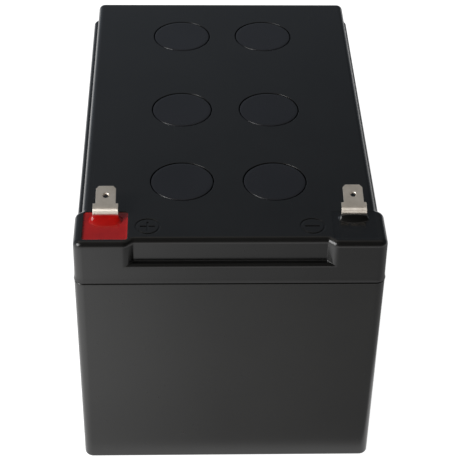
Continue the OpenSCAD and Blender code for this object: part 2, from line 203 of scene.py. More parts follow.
def surface(o, angle=32, weighted=True):
    """Clean the mesh and shade it smooth, with sharp edges over the angle."""
    bm = bmesh.new()
    bm.from_mesh(o.data)
    bmesh.ops.remove_doubles(bm, verts=bm.verts, dist=2e-8)
    bmesh.ops.dissolve_degenerate(bm, dist=2e-8, edges=bm.edges)
    loose = [v for v in bm.verts if not v.link_faces]
    bmesh.ops.delete(bm, geom=loose, context="VERTS")
    open_edges = 0
    for e in bm.edges:
        if len(e.link_faces) != 2:
            open_edges += 1
            e.smooth = True
        else:
            e.smooth = e.calc_face_angle(0) < math.radians(angle)
    for f in bm.faces:
        f.smooth = True
    bm.to_mesh(o.data)
    bm.free()
    if open_edges:
        print("OPEN", o.name, open_edges)
    if weighted:
        m = o.modifiers.new("normals", "WEIGHTED_NORMAL")
        m.keep_sharp = True
        m.weight = 80
    return o


# ---- container ---------------------------------------------------------------
def make_container():
    lv = []
    for k in range(9):
        a = 90 * k / 8
        lv.append((FOOT_R * (1 - cosd(a)), DRAFT + FOOT_R * (1 - sind(a))))
    for z in (8, 20, 40, 60, 74):
        lv.append((z, DRAFT * (1 - (z - FOOT_R) / (SEAM_Z - 1.0 - FOOT_R))))
    lv.append((SEAM_Z - 1.0, 0.0))
    lv.append((SEAM_Z - 0.42, 0.0))
    for k in range(1, 7):
        a = 90 * k / 6
        lv.append((SEAM_Z - 0.42 + 0.42 * sind(a), 0.42 * (1 - cosd(a))))
    levels = [at_z(outline(HW, HL, CORNER_R, d, 16), z) for z, d in lv]
    # the rim that stands into the lid
    for z, d in ((SEAM_Z + 0.001, 0.78), (SEAM_Z + 0.12, 0.8), (JOINT_Z - 0.1, 0.8), (JOINT_Z, 0.88)):
        levels.append(at_z(outline(HW, HL, CORNER_R, d, 16), z))
    o = rings("container_shell", levels)
    cells = []
    for x in (-1, 1):
        for y in ROW_Y:
            cells.append(block("cell", x * COL_X - CELL_W / 2, x * COL_X + CELL_W / 2,
                               y - CELL_L / 2, y + CELL_L / 2, FLOOR_T, 100, 0.14))
    cut(o, join("cells", cells))
    welds = []
    inn_x = 2 * COL_X - TERM_X
    for x, s in ((-inn_x, -1), (-TERM_X, 1), (TERM_X, 1), (inn_x, -1)):
        welds.append(across("weld", 3.0, x, s * PART_Y, 75.6, "y"))
    welds.append(across("weld", 3.0, 0, ROW_Y[2], 75.6, "x"))
    cut(o, join("welds", welds))
    # step inside the rim, between the partitions
    step = rings("step", [at_z(outline(HW, HL, CORNER_R, 1.8, 8), z) for z in (SEAM_Z, JOINT_Z + 1)])
    cut(step, block("p", -PART_T / 2, PART_T / 2, -80, 80, 70, 90, 0.01))
    for s in (-1, 1):
        cut(step, block("p", -60, 60, s * PART_Y - PART_T / 2, s * PART_Y + PART_T / 2, 70, 90, 0.01))
    cut(o, step)
    return surface(o)


def across(name, r, x, y, z, axis, n=32, half=1.2):
    """Short round cutter across a partition."""
    lv = []
    for s in (-half, half):
        ring = []
        for i in range(n):
            c, t = r * cosd(360 * i / n), r * sind(360 * i / n)
            ring.append((x + c, y + s, z + t) if axis == "y" else (x + s, y + c, z + t))
        lv.append(ring)
    return rings(name, lv)


# ---- lid ---------------------------------------------------------------------
def lid_columns():
    """The outside outline of the raised part, each point with the rim point below it.
    Gives (centre x, centre y, radius, normal, rim point, rim normal)."""
    half = [
        (BLOCK_X - (BLOCK_R + STEP_R2) * sind(SLOPE_A) - SLOPE_L * cosd(SLOPE_A),
         -LL + BLOCK_R - (BLOCK_R + STEP_R2) * cosd(SLOPE_A) + SLOPE_L * sind(SLOPE_A),
         -STEP_R2, 270, 270 - SLOPE_A, 10, "front"),
        (BLOCK_X, -LL + BLOCK_R, BLOCK_R, 270 - SLOPE_A, 270, 14, "front"),
        (LW - BLOCK_R, -LL + BLOCK_R, BLOCK_R, 270, 360, 16, "corner"),
        (LW - BLOCK_R, BLOCK_Y, BLOCK_R, 0, STEP_A, 16, "side"),
        (LW - BLOCK_R + (BLOCK_R + STEP_R2) * cosd(STEP_A),
         BLOCK_Y + (BLOCK_R + STEP_R2) * sind(STEP_A), -STEP_R2, STEP_A, 0, 10, "side"),
        (LW - INSET - BACK_R, LL - INSET - BACK_R, BACK_R, 0, 90, 18, "back"),
    ]
    out = []
    for cx, cy, r, a0, a1, n, kind in half:
        for i in range(n + 1):
            t = a0 + (a1 - a0) * i / n
            nx, ny = cosd(t), sind(t)
            px, py = cx + r * nx, cy + r * ny
            if kind == "front":
                m, mn = (px, -LL), (0, -1)
            elif kind == "side":
                m, mn = (LW, py), (1, 0)
            elif kind == "corner":
                m, mn = (px, py), (nx, ny)
            else:
                c = (LW - BLOCK_R, LL - BLOCK_R)
                best = None
                if nx > 1e-6:
                    s = (LW - px) / nx
                    if py + s * ny <= c[1]:
                        best = (LW, py + s * ny, 1, 0)
                if best is None and ny > 1e-6:
                    s = (LL - py) / ny
                    if px + s * nx <= c[0]:
                        best = (px + s * nx, LL, 0, 1)
                if best is None:
                    dx, dy = px - c[0], py - c[1]
                    b = dx * nx + dy * ny
                    s = -b + math.sqrt(b * b - (dx * dx + dy * dy - BLOCK_R ** 2))
                    x, y = px + s * nx, py + s * ny
                    best = (x, y, (x - c[0]) / BLOCK_R, (y - c[1]) / BLOCK_R)
                m, mn = best[:2], best[2:]
            out.append((cx, cy, r, nx, ny, m, mn))
    # drop doubled points where two arcs meet, then mirror
    clean = [out[0]]
    for c in out[1:]:
        p, q = clean[-1], c
        if math.dist((p[0] + p[2] * p[3], p[1] + p[2] * p[4]), (q[0] + q[2] * q[3], q[1] + q[2] * q[4])) > 1e-6:
            clean.append(c)
    other = [(-c[0], c[1], c[2], -c[3], c[4], (-c[5][0], c[5][1]), (-c[6][0], c[6][1]))
             for c in reversed(clean)]
    return clean + other


# the lid's rim flares out to its lower edge
FLARE = [(0, 0.10), (0.01, 0.16), (0.04, 0.21), (0.09, 0.24), (0.15, 0.25)]
FLARE += [(z, 0.25 * ((2.2 - z) / 2.05) ** 2) for z in (0.3, 0.5, 0.8, 1.1, 1.5, 1.8, 2.2)]


def lid_skin():
    columns = lid_columns()
    rows = []
    z0 = LEDGE_Z - LEDGE_R
    zt = LID_TOP - TOP_R
    base = LID_Z + 2.2

    def narrow(z):
        return 0.1 * min(1, max(0, (z - base) / (zt - base)))

    grid = []
    for cx, cy, r, nx, ny, m, mn in columns:
        px, py = cx + r * nx, cy + r * ny
        s = math.dist((px, py), m)
        dx, dy = ((px - m[0]) / s, (py - m[1]) / s) if s > 1e-9 else (-mn[0], -mn[1])
        col = [(m[0] + mn[0] * d, m[1] + mn[1] * d, LID_Z + z) for z, d in FLARE]
        for z in (base + 0.8, z0 - 0.8, z0):
            d = narrow(z)
            col.append((m[0] - mn[0] * d, m[1] - mn[1] * d, z))
        d0 = narrow(z0)
        if s < 0.005:
            steps = [(0, z0 + 0.2 * k) for k in range(1, 17)]
        else:
            reach = min(1.0, s / (LEDGE_R + FILLET_R))
            phi = math.degrees(math.acos(1 - reach))
            steps = [(LEDGE_R * (1 - cosd(phi * k / 8)), z0 + LEDGE_R * sind(phi * k / 8))
                     for k in range(1, 9)]
            zc = z0 + (LEDGE_R + FILLET_R) * sind(phi)
            flat = s - (LEDGE_R + FILLET_R) * (1 - cosd(phi))
            q0, za = steps[-1]
            steps.append((q0 + flat * 0.5 + 5e-4, za + 2e-4))
            for k in range(7):
                psi = phi * (1 - k / 6)
                steps.append((s - FILLET_R * (1 - cosd(psi)), zc - FILLET_R * sind(psi) + 4e-4))
        for q, z in steps:
            x, y = m[0] + dx * q, m[1] + dy * q
            d = d0 + (narrow(z) - d0) * (q / s if s > 0.005 else 1)
            # the narrowing follows the rim's normal low down and the wall's normal high up
            t = q / s if s > 0.005 else 1
            ax, ay = mn[0] * (1 - t) + nx * t, mn[1] * (1 - t) + ny * t
            col.append((x - ax * d, y - ay * d, z))
        zs = col[-1][2]
        for k in (1, 2, 3):
            z = zs + (zt - zs) * k / 3
            d = narrow(z)
            col.append((cx + (r - d) * nx, cy + (r - d) * ny, z))
        for k in range(1, 13):
            a = 90 * k / 12
            d = 0.1 + TOP_R * (1 - cosd(a))
            col.append((cx + (r - d) * nx, cy + (r - d) * ny, zt + TOP_R * sind(a)))
        grid.append(col)
    levels = [[grid[i][k] for i in range(len(grid))] for k in range(len(grid[0]))]
    return rings("lid_shell", levels)


def flared(name, shape, z0, flare=0.25, over=1.0):
    """Cutter of an outline, with the sunk edge at the lid's top rounded over."""
    lv = [at_z(shape(0), z0), at_z(shape(0), LID_TOP - flare)]
    for k in range(1, 6):
        a = 90 * k / 5
        lv.append(at_z(shape(-flare * (1 - cosd(a))), LID_TOP - flare + flare * sind(a)))
    lv.append(at_z(shape(-flare - 0.02), LID_TOP + over))
    return rings(name, lv)


def plus_outline(a, b, cx, cy):
    def shape(d):
        p, q = a - d, b - d
        pts = [(p, -q), (p, q), (q, q), (q, p), (-q, p), (-q, q), (-p, q), (-p, -q), (-q, -q),
               (-q, -p), (q, -p), (q, -q)]
        return [(cx + x, cy + y) for x, y in pts]
    return shape


def make_lid():
    o = lid_skin()
    # vent wells with their seats and necks
    wells = []
    for x in (-1, 1):
        for y in VENT_Y:
            f = 0.16
            rim = [(COVER_R + COVER_GAP, LID_TOP - f)]
            rim += [(COVER_R + COVER_GAP + f * (1 - cosd(18 * k)), LID_TOP - f + f * sind(18 * k))
                    for k in range(1, 6)]
            prof = [(0, WELL_FLOOR - 1), (BORE_R, WELL_FLOOR - 1), (BORE_R, NECK_TOP - 0.2),
                    (BORE_R + 0.2, NECK_TOP), (NECK_R - 0.3, NECK_TOP), (NECK_R, NECK_TOP - 0.3),
                    (NECK_R, NECK_BASE + 0.4), (NECK_R + 0.4, NECK_BASE), (WELL_R - 0.5, NECK_BASE),
                    (WELL_R, NECK_BASE + 0.5), (WELL_R, SEAT_Z - 0.15), (WELL_R + 0.15, SEAT_Z),
                    (COVER_R + COVER_GAP - 0.1, SEAT_Z), (COVER_R + COVER_GAP, SEAT_Z + 0.1)]
            prof += rim + [(rim[-1][0] + 0.01, LID_TOP + 1), (0, LID_TOP + 1)]
            wells.append(lathe("well", prof, 96, (x * VENT_X, y)))
    cut(o, join("wells", wells))
    # terminal pockets
    pockets = []
    for x in (-1, 1):
        pockets.append(flared("pocket", lambda d, x=x: outline(
            POCKET_S / 2, POCKET_S / 2, POCKET_R, d, 8, x * TERM_X, POCKET_Y), POCKET_Z, 0.22 if x < 0 else 0.06))
    cut(o, join("pockets", pockets))
    # sunk polarity signs
    for x, plus in ((-25.9, True), (25.9, False)):
        y, ro, ri, dep, f = -66.4, 4.0, 3.4, 0.26, 0.14
        prof = [(ri + 0.1, LID_TOP - dep), (ro - 0.1, LID_TOP - dep), (ro, LID_TOP - dep + 0.02),
                (ro, LID_TOP - f), (ro + f * 0.3, LID_TOP - f * 0.3), (ro + f, LID_TOP),
                (ro + f + 0.01, LID_TOP + 1), (ri - f - 0.01, LID_TOP + 1), (ri - f, LID_TOP),
                (ri - f * 0.3, LID_TOP - f * 0.3), (ri, LID_TOP - f), (ri, LID_TOP - dep + 0.02)]
        cut(o, lathe("ring", prof, 64, (x, y)))
        if plus:
            cut(o, flared("mark", plus_outline(2.3, 0.3, x, y), LID_TOP - dep, f))
        else:
            cut(o, flared("mark", lambda d, x=x, y=y: [(x - 2.3 + d, y - 0.3 + d), (x + 2.3 - d, y - 0.3 + d),
                                                       (x + 2.3 - d, y + 0.3 - d), (x - 2.3 + d, y + 0.3 - d)],
                          LID_TOP - dep, f))
    # groove for the container's rim
    n = 10
    a = [at_z(outline(HW, HL, CORNER_R, 0.75, n), z) for z in (LID_Z - 1, JOINT_Z)]
    groove = rings("groove", a)
    cut(groove, rings("in", [at_z(outline(HW, HL, CORNER_R, 1.85, n), z) for z in (LID_Z - 2, JOINT_Z + 3)]))
    cut(o, groove)
    t = PART_T + 0.1
    cut(o, block("g", -t / 2, t / 2, -HL + 1, HL - 1, JOINT_Z - 10, JOINT_Z, 0.05))
    for s in (-1, 1):
        cut(o, block("g", -HW + 1, HW - 1, s * PART_Y - t / 2, s * PART_Y + t / 2, JOINT_Z - 10, JOINT_Z, 0.05))
    # head space of each cell
    for x in (-1, 1):
        for r in range(3):
            y0 = -IN_L + 0.3 if r == 0 else ROW_Y[r] - (CELL_L + PART_T) / 2 + 1.5
            y1 = IN_L - 0.3 if r == 2 else ROW_Y[r] + (CELL_L + PART_T) / 2 - 1.5
            h = block("head", x * 1.5, x * (IN_W - 0.3), y0, y1, LID_Z - 2, LEDGE_Z - LID_T, 0.4)
            up = block("up", x * 1.5, x * (LW - INSET - LID_T), max(y0, -LL + INSET + LID_T),
                       min(y1, LL - INSET - LID_T), LID_Z - 1.7, LID_TOP - LID_T, 0.4)
            cut(h, up, op="UNION")
            if r == 0:
                cut(h, block("pk", x * (TERM_X - POCKET_S / 2 - 1.6), x * 60, -90,
                             POCKET_Y + POCKET_S / 2 + 1.6, LEDGE_Z - LID_T, LID_TOP, 0.2))
            cut(h, lathe("wl", [(0, WELL_FLOOR), (WELL_R + 1.8, WELL_FLOOR), (WELL_R + 1.8, 110), (0, 110)],
                         64, (x * VENT_X, VENT_Y[r])))
            cut(o, h)
    # holes for the posts
    for x in (-1, 1):
        cut(o, lathe("post", [(0, POCKET_Z - 10), (3.6, POCKET_Z - 10), (3.6, POCKET_Z + 0.5), (0, POCKET_Z + 0.5)],
                     48, (x * TERM_X, POCKET_Y)))
    return surface(o)


# ---- vent covers -------------------------------------------------------------
def make_cover(n):
    cx, cy = CELLS[n - 1][0] * VENT_X, VENT_Y[CELLS[n - 1][1]]
    c = 0.28
    z = NECK_TOP + 1.5
    # the face is very slightly dished and each sits a hair differently
    drop_z = (0.03, 0.05, 0.02, 0.04, 0.03, 0.06)[n - 1]
    top = LID_TOP - drop_z
    prof = [(0, z), (1.8, z), (2.0, z + 0.2), (2.0, SEAT_Z), (7, SEAT_Z), (7, SEAT_Z - 1.0), (7.2, SEAT_Z - 1.2),
            (WELL_R - 0.5, SEAT_Z - 1.2), (WELL_R - 0.3, SEAT_Z - 1.0), (WELL_R - 0.3, SEAT_Z),
            (COVER_R - 0.12, SEAT_Z), (COVER_R, SEAT_Z + 0.12)]
    prof += [(COVER_R - c + c * cosd(15 * k), top - c + c * sind(15 * k)) for k in range(7)]
    prof += [(COVER_R - 1.2, top - 0.004), (6.5, top - 0.015), (3.0, top - 0.024), (0, top - 0.026)]
    return surface(lathe(f"vent_cover_{n}_piece", prof, 128, (cx, cy)), 40)


# ---- terminals ---------------------------------------------------------------
def strip_profile(k, grow=0.0, steps=12):
    """Side outline of the bent strip as (y, z). grow fattens it for the cut in the epoxy."""
    bz, a = BEND_Z[k], RISE[k]
    low = 1.5
    y1, z1 = STRIP_Y - low + BLADE_T, FOOT_Z + low
    y2 = STRIP_Y + BEND_R
    l = SHOULDER_L + BLADE_L
    bi, bo = BEND_R - BLADE_T - grow, BEND_R + grow

    def arc(y, z, r, t0, t1):
        return [(y + r * cosd(t0 + (t1 - t0) * i / steps), z + r * sind(t0 + (t1 - t0) * i / steps))
                for i in range(steps + 1)]
    pts = [(POCKET_Y - 3.4, FOOT_Z - grow)]
    pts += arc(y1, z1, low + grow, -90, 0)
    pts += arc(y2, bz, bi, 180, 90 + a)
    pts += [(y2 + l * cosd(a) - bi * sind(a), bz + l * sind(a) + bi * cosd(a)),
            (y2 + l * cosd(a) - bo * sind(a), bz + l * sind(a) + bo * cosd(a))]
    pts += arc(y2, bz, bo, 90 + a, 180)
    pts += arc(y1, z1, low - BLADE_T - grow, 0, -90)
    pts += [(POCKET_Y - 3.4, FOOT_Z + BLADE_T + grow)]
    return pts


def extrude_x(name, profile, x0, x1):
    return rings(name, [[(x, y, z) for y, z in profile] for x in (x0, x1)])


def placed(o, k):
    """Moves a shape from the blade's own axes to its place."""
    x = -TERM_X if k == 0 else TERM_X
    m = Matrix.Translation((x * MM, (STRIP_Y + BEND_R) * MM, BEND_Z[k] * MM)) @ Matrix.Rotation(math.radians(RISE[k]), 4, "X")
    o.data.transform(m)
    return o


def make_terminal(k):
    x = -TERM_X if k == 0 else TERM_X
    o = extrude_x("t", strip_profile(k), x - STRIP_W / 2, x + STRIP_W / 2)
    l = SHOULDER_L + BLADE_L
    for s in (-1, 1):
        # shoulder with a small inner radius, side of the blade and tip corner, in one cutter
        w = BLADE_W / 2
        f = 0.25
        pts = [(s * 8, SHOULDER_L)]
        pts += [(s * (w + f - f * sind(15 * i)), SHOULDER_L + f - f * cosd(15 * i)) for i in range(7)]
        pts += [(s * w, l - 1.2), (s * (w - 0.9), l), (s * (w - 0.9), l + 2), (s * 8, l + 2)]
        cut(o, placed(rings("side", [[(px, py, z) for px, py in pts] for z in (0.4, 4)]), k))
    cut(o, placed(lathe("hole", [(0, -1), (HOLE_R, -1), (HOLE_R, BEND_R - 0.27), (HOLE_R + 0.04, BEND_R - 0.2),
                                 (HOLE_R + 0.27, BEND_R + 0.02), (HOLE_R + 0.27, 5), (0, 5)], 40, (0, l - HOLE_U)), k))
    cut(o, lathe("spigot", [(0, FOOT_Z - 1), (2.0, FOOT_Z - 1), (2.0, FOOT_Z + 2), (0, FOOT_Z + 2)],
                 40, (x, POCKET_Y)))
    bm = bmesh.new()
    bm.from_mesh(o.data)
    bmesh.ops.remove_doubles(bm, verts=bm.verts, dist=1e-7)
    bmesh.ops.dissolve_limit(bm, angle_limit=math.radians(1), verts=bm.verts, edges=bm.edges)
    edges = [e for e in bm.edges if len(e.link_faces) == 2 and e.calc_face_angle(0) > math.radians(30)]
    bmesh.ops.bevel(bm, geom=edges, offset=0.11 * MM, segments=3, profile=0.6, affect="EDGES", clamp_overlap=True)
    bm.to_mesh(o.data)
    bm.free()
    o.name = ("terminal_positive", "terminal_negative")[k] + "_piece"
    return surface(o, 40)


# ---- cast epoxy --------------------------------------------------------------
def make_seal(k):
    x = -TERM_X if k == 0 else TERM_X
    h = POCKET_S / 2
    lv = [at_z(outline(h, h, POCKET_R, 0.02, 8, x, POCKET_Y), POCKET_Z)]
    face = SEAL_Z + (0.0, 0.36)[k]                       # the black resin is filled almost to the brim
    # the resin climbs the pocket's walls a little
    up = (1.0, 0.2)[k]
    for d, z in ((0.0, 0.13), (0.05, 0.125), (0.14, 0.085), (0.28, 0.045), (0.5, 0.018), (0.8, 0.004)):
        r = POCKET_R
        w = h - d
        rr = max(r - d * 0.6, 0.4)
        lv.append(at_z(outline(w, w, rr, 0, 8, x, POCKET_Y), face + z * up))
    for d in (1.4, 2.4, 3.6, 5.0, 6.2):
        lv.append(at_z(outline(h - d, h - d, 0.4, 0, 8, x, POCKET_Y), face - 0.012 * min(d, 4) / 4))
    o = rings("s", lv)
    lv = []
    for q, z in ((3.4, -0.3), (3.2, -0.01), (3.05, 0.03), (2.8, 0.13), (2.35, 0.34), (1.9, 0.57), (1.45, 0.82),
                 (1.05, 1.07), (0.7, 1.32), (0.42, 1.56), (0.22, 1.80), (0.1, 2.05)):
        side, back = min(0.45 * q, 1.4), min(0.35 * q, 0.9)
        loop = []
        for i in range(64):
            c, n = cosd(i * 5.625), sind(i * 5.625)
            e = 0.8 if n < 0 else 0.35                   # oval in front, square behind
            px = math.copysign(abs(c) ** e, c) * (STRIP_W / 2 + side)
            py = math.copysign(abs(n) ** e, n) * (q if n < 0 else BLADE_T + back)
            loop.append((x + px, STRIP_Y + py))
        lv.append(at_z(loop, SEAL_Z + z))
    cut(o, rings("climb", lv), op="UNION")
    cut(o, lathe("p", [(0, POCKET_Z - 1), (3.5, POCKET_Z - 1), (3.5, FOOT_Z), (2.0, FOOT_Z), (2.0, FOOT_Z + 1.3),
                       (0, FOOT_Z + 1.3)], 48, (x, POCKET_Y)))
    cut(o, extrude_x("st", strip_profile(k), x - STRIP_W / 2, x + STRIP_W / 2))
    o.name = ("seal_positive", "seal_negative")[k] + "_piece"
    return surface(o, 40)


# ---- materials ---------------------------------------------------------------
class Tree:
    """Small helper for building a node material."""

    def __init__(self, name):
        self.m = bpy.data.materials.new(name)
        self.m.use_nodes = True
        self.t = self.m.node_tree
        self.t.nodes.clear()
        self.out = self.add("ShaderNodeOutputMaterial")
        self.b = self.add("ShaderNodeBsdfPrincipled")
        self.link(self.b, "BSDF", self.out, "Surface")
        self.c = self.add("ShaderNodeTexCoord")

    def add(self, kind, **props):
        n = self.t.nodes.new(kind)
        for k, v in props.items():
            setattr(n, k, v)
        return n

    def link(self, a, out, b, inp):
        self.t.links.new(a.outputs[out], b.inputs[inp])

    def coords(self, scale=(1, 1, 1), rot=(0, 0, 0)):
        m = self.add("ShaderNodeMapping")
        m.inputs["Scale"].default_value = scale
        m.inputs["Rotation"].default_value = rot
        self.link(self.c, "Object", m, "Vector")
        return m

    def noise(self, scale, detail=2.0, rough=0.5, stretch=(1, 1, 1), rot=(0, 0, 0)):
        n = self.add("ShaderNodeTexNoise")
        n.inputs["Scale"].default_value = scale
        n.inputs["Detail"].default_value = detail
        n.inputs["Roughness"].default_value = rough
        self.link(self.coords(stretch, rot), "Vector", n, "Vector")
        return n

    def ramp(self, src, out, stops, into=None, inp=None):
        r = self.add("ShaderNodeValToRGB")
        e = r.color_ramp.elements
        while len(e) < len(stops):
            e.new(0.5)
        for el, (p, c) in zip(e, stops):
            el.position = p
            el.color = (*c, 1) if len(c) == 3 else c
        self.link(src, out, r, "Fac")
        if into:
            self.link(r, "Color", into, inp)
        return r

    def range(self, src, out, a, b, lo, hi, into=None, inp=None):
        r = self.add("ShaderNodeMapRange")
        for k, v in zip(("From Min", "From Max", "To Min", "To Max"), (a, b, lo, hi)):
            r.inputs[k].default_value = v
        self.link(src, out, r, "Value")
        if into:
            self.link(r, "Result", into, inp)
        return r

    def bump(self, sources):
        """Chain of bumps: (source, output, strength, distance in mm)."""
        last = None
        for src, out, strength, dist in sources:
            b = self.add("ShaderNodeBump")
            b.inputs["Strength"].default_value = strength
            b.inputs["Distance"].default_value = dist * MM
            self.link(src, out, b, "Height")
            if last:
                self.link(last, "Normal", b, "Normal")
            last = b
        self.link(last, "Normal", self.b, "Normal")


def grey(v, blue=1.0):
    return (v, v, v * blue)


def plastic(name, lo, hi, rough_lo, rough_hi, blue=1.06, grain=0.10, specular=0.5, dust=0.012, wave=0.0):
    """Moulded black ABS: fine grain, soft cloudiness, faint hairlines and a few dust specks."""
    t = Tree(name)
    cloud = t.noise(38, 3, 0.55)
    col = t.ramp(cloud, "Fac", [(0.3, grey(lo, blue)), (0.7, grey(hi, blue))])
    # dust specks, only in some places
    vor = t.add("ShaderNodeTexVoronoi")
    vor.inputs["Scale"].default_value = 95
    t.link(t.coords(), "Vector", vor, "Vector")
    speck = t.range(vor, "Distance", dust, dust * 1.8, 0.55, 0.0)
    where = t.noise(26, 1, 0.5)
    mask = t.range(where, "Fac", 0.56, 0.60, 0.0, 1.0)
    mul = t.add("ShaderNodeMath", operation="MULTIPLY")
    t.link(speck, "Result", mul, 0)
    t.link(mask, "Result", mul, 1)
    mix = t.add("ShaderNodeMix", data_type="RGBA")
    t.link(mul, "Value", mix, "Factor")
    t.t.links.new(col.outputs["Color"], mix.inputs[6])
    mix.inputs[7].default_value = (0.30, 0.31, 0.32, 1)
    t.t.links.new(mix.outputs[2], t.b.inputs["Base Color"])
    # roughness: broad smears and thin hairlines
    smear = t.noise(55, 4, 0.6, (1, 0.55, 1), (0, 0, 0.5))
    base = t.range(smear, "Fac", 0.3, 0.72, rough_lo, rough_hi)
    hair = t.noise(60, 2, 0.5, (14, 0.6, 6), (0, 0, 0.22))
    line = t.range(hair, "Fac", 0.70, 0.78, 0.0, 0.09)
    add = t.add("ShaderNodeMath", operation="ADD")
    t.link(base, "Result", add, 0)
    t.link(line, "Result", add, 1)
    t.link(add, "Value", t.b, "Roughness")
    t.b.inputs["Specular IOR Level"].default_value = specular
    t.b.inputs["IOR"].default_value = 1.5
    fine = t.noise(5200, 2, 0.6)
    soft = t.noise(420, 2, 0.5)
    chain = [(soft, "Fac", 0.35, 0.004), (fine, "Fac", grain, 0.012)]
    if wave:
        broad = t.noise(24, 1, 0.4)
        chain.insert(0, (broad, "Fac", 1.0, wave))
    t.bump(chain)
    return t.m


def resin(name, lo, hi, rough=(0.10, 0.2), coat=0.0):
    """Cast epoxy: glossy, a little uneven, with faint flow marks."""
    t = Tree(name)
    cloud = t.noise(240, 3, 0.6)
    t.ramp(cloud, "Fac", [(0.3, lo), (0.7, hi)], t.b, "Base Color")
    t.range(t.noise(420, 3, 0.6), "Fac", 0.3, 0.7, rough[0], rough[1], t.b, "Roughness")
    t.b.inputs["IOR"].default_value = 1.52
    t.b.inputs["Coat Weight"].default_value = coat
    t.bump([(t.noise(190, 2, 0.5), "Fac", 0.5, 0.10), (t.noise(1500, 2, 0.5), "Fac", 0.2, 0.01)])
    return t.m


def metal(name, lo, hi, rough, brushed=0.35, metallic=1.0, grain=0.0):
    """Tinned strip: drawn grain along the strip, dull patches, fine scratches."""
    t = Tree(name)
    patch = t.noise(330, 4, 0.6)
    t.ramp(patch, "Fac", [(0.28, lo), (0.72, hi)], t.b, "Base Color")
    t.b.inputs["Metallic"].default_value = metallic
    base = t.range(t.noise(500, 3, 0.6), "Fac", 0.3, 0.7, rough[0], rough[1])
    hair = t.noise(300, 3, 0.6, (20, 1, 1))
    line = t.range(hair, "Fac", 0.45, 0.7, 0.0, 0.05)
    add = t.add("ShaderNodeMath", operation="ADD")
    t.link(base, "Result", add, 0)
    t.link(line, "Result", add, 1)
    t.link(add, "Value", t.b, "Roughness")
    if grain:
        turn = t.add("ShaderNodeTangent", direction_type="RADIAL", axis="X")
        t.link(turn, "Tangent", t.b, "Tangent")
        t.b.inputs["Anisotropic"].default_value = grain
        t.b.inputs["Anisotropic Rotation"].default_value = 0.25
    t.bump([(hair, "Fac", brushed, 0.004), (t.noise(900, 3, 0.6), "Fac", 0.2, 0.012)])
    return t.m


def rubber(name):
    t = Tree(name)
    t.ramp(t.noise(300, 3, 0.6), "Fac", [(0.3, grey(0.018)), (0.7, grey(0.035))], t.b, "Base Color")
    t.range(t.noise(500, 3), "Fac", 0.3, 0.7, 0.55, 0.72, t.b, "Roughness")
    t.bump([(t.noise(2400, 3), "Fac", 0.3, 0.03)])
    return t.m


def lead(name):
    t = Tree(name)
    t.ramp(t.noise(260, 5, 0.65), "Fac", [(0.3, (0.15, 0.155, 0.165)), (0.55, (0.26, 0.265, 0.28)),
                                           (0.75, (0.36, 0.36, 0.37))], t.b, "Base Color")
    t.b.inputs["Metallic"].default_value = 0.85
    t.range(t.noise(420, 4), "Fac", 0.3, 0.7, 0.42, 0.66, t.b, "Roughness")
    t.bump([(t.noise(420, 4, 0.6), "Fac", 0.5, 0.12)])
    return t.m


def paste(name, lo, hi):
    t = Tree(name)
    t.ramp(t.noise(700, 5, 0.7), "Fac", [(0.25, lo), (0.75, hi)], t.b, "Base Color")
    t.range(t.noise(500, 4), "Fac", 0.3, 0.7, 0.75, 0.95, t.b, "Roughness")
    t.bump([(t.noise(1300, 5, 0.7), "Fac", 0.7, 0.12)])
    return t.m


def mat_glass(name):
    t = Tree(name)
    t.ramp(t.noise(900, 5, 0.7, (1, 1, 0.25)), "Fac", [(0.25, (0.62, 0.62, 0.60)), (0.75, (0.83, 0.83, 0.81))],
           t.b, "Base Color")
    t.range(t.noise(700, 4), "Fac", 0.3, 0.7, 0.82, 0.98, t.b, "Roughness")
    t.b.inputs["Sheen Weight"].default_value = 0.3
    t.bump([(t.noise(2600, 5, 0.8, (1, 1, 0.2)), "Fac", 0.8, 0.08)])
    return t.m


M = {
    "case_plastic": plastic("case_plastic", 0.0052, 0.0075, 0.20, 0.27, blue=0.92, wave=0.012),
    "lid_plastic": plastic("lid_plastic", 0.0046, 0.0064, 0.19, 0.26, blue=0.98, wave=0.008),
    "cover_plastic": plastic("cover_plastic", 0.0066, 0.0088, 0.22, 0.30, blue=1.30, grain=0.12),
    "cap_rubber": rubber("cap_rubber"),
    "tinned_brass": metal("tinned_brass", (0.78, 0.71, 0.62), (0.92, 0.85, 0.76), (0.44, 0.52), 0.05, 1.0, 0.75),
    "epoxy_red": resin("epoxy_red", (0.34, 0.002, 0.0015), (0.43, 0.004, 0.0025)),
    "epoxy_black": resin("epoxy_black", grey(0.0022), grey(0.004), (0.14, 0.24)),
    "lead": lead("lead"),
    "positive_paste": paste("positive_paste", (0.045, 0.022, 0.013), (0.10, 0.055, 0.034)),
    "negative_paste": paste("negative_paste", (0.12, 0.125, 0.13), (0.21, 0.21, 0.22)),
    "glass_mat": mat_glass("glass_mat"),
}


def dress(o, slot):
    o.data.materials.clear()
    o.data.materials.append(M[slot])
    return o


def piece(o, node, slot):
    dress(o, slot)
    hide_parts(node)
    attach(o, "root")
    return o


piece(make_container(), "container", "case_plastic")
piece(make_lid(), "lid", "lid_plastic")
for n in range(1, 7):
    piece(make_cover(n), f"vent_cover_{n}", "cover_plastic")
for k, name in enumerate(("positive", "negative")):
    piece(make_terminal(k), f"terminal_{name}", "tinned_brass")
    piece(make_seal(k), f"seal_{name}", ("epoxy_red", "epoxy_black")[k])

for name, o in NODES.items():
    for start, slot in (("valve_cap", "cap_rubber"), ("post_", "lead"), ("intercell", "lead"),
                        ("positive_plates", "positive_paste"), ("negative_plates", "negative_paste"),
                        ("separators", "glass_mat")):
        if name.startswith(start):
            dress(o, slot)


